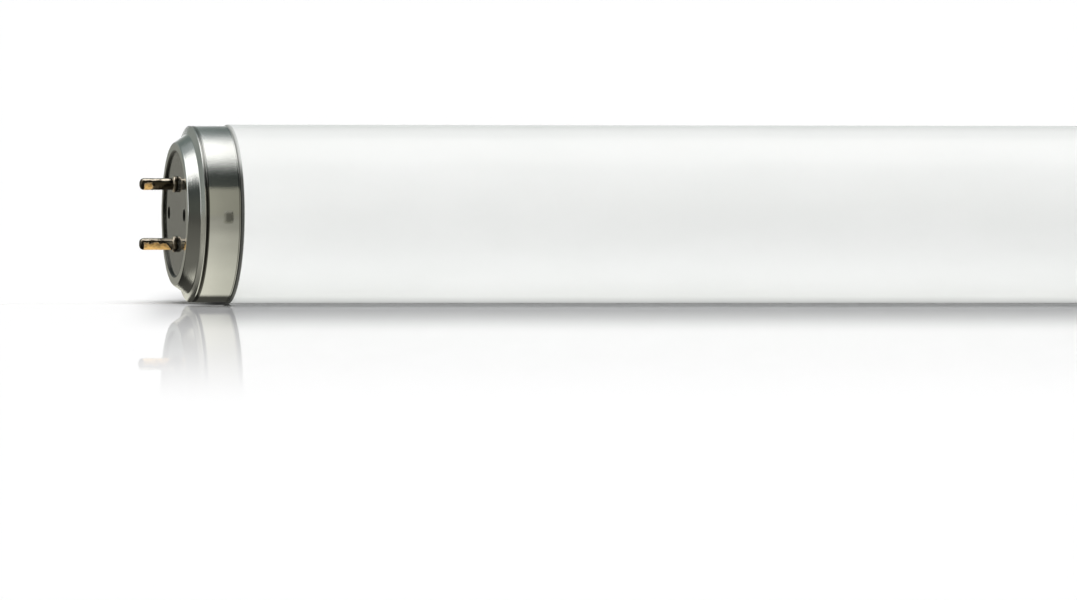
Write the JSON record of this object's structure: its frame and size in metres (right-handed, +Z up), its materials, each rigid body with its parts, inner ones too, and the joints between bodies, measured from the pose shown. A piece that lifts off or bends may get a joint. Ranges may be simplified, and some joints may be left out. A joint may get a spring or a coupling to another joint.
{
  "type": "fluorescent tube",
  "caption": "Long straight white glass lamp tube, closed at each end by a stepped metal cap with an insulating disc and a pair of contact pins.",
  "frame": {"origin": "under the middle of the tube, on the surface that its glass lies on", "axes": "+X along the tube towards the right cap, +Z up along the line of the pins, and -Y towards the viewer of the picture"},
  "size_m": [0.6038, 0.038, 0.038],
  "materials": {
    "white_glass": "clear glass over a white inner coating, glossy",
    "cap_aluminium": "drawn and polished, slightly grey",
    "disc_moulding": "smooth dark grey moulding",
    "pin_brass": "polished",
    "lead_wire": "bare nickel-iron wire",
    "basing_cement": "matt, hard"
  },
  "bodies": {
    "root": {"glass_tube": "white_glass", "left_cap_shell": "cap_aluminium", "left_insulating_disc": "disc_moulding", "left_cement_ring": "basing_cement", "left_upper_pin": "pin_brass", "left_lower_pin": "pin_brass", "left_upper_lead_wire": "lead_wire", "left_lower_lead_wire": "lead_wire", "right_cap_shell": "cap_aluminium", "right_insulating_disc": "disc_moulding", "right_cement_ring": "basing_cement", "right_upper_pin": "pin_brass", "right_lower_pin": "pin_brass", "right_upper_lead_wire": "lead_wire", "right_lower_lead_wire": "lead_wire"}
  },
  "joints": []
}
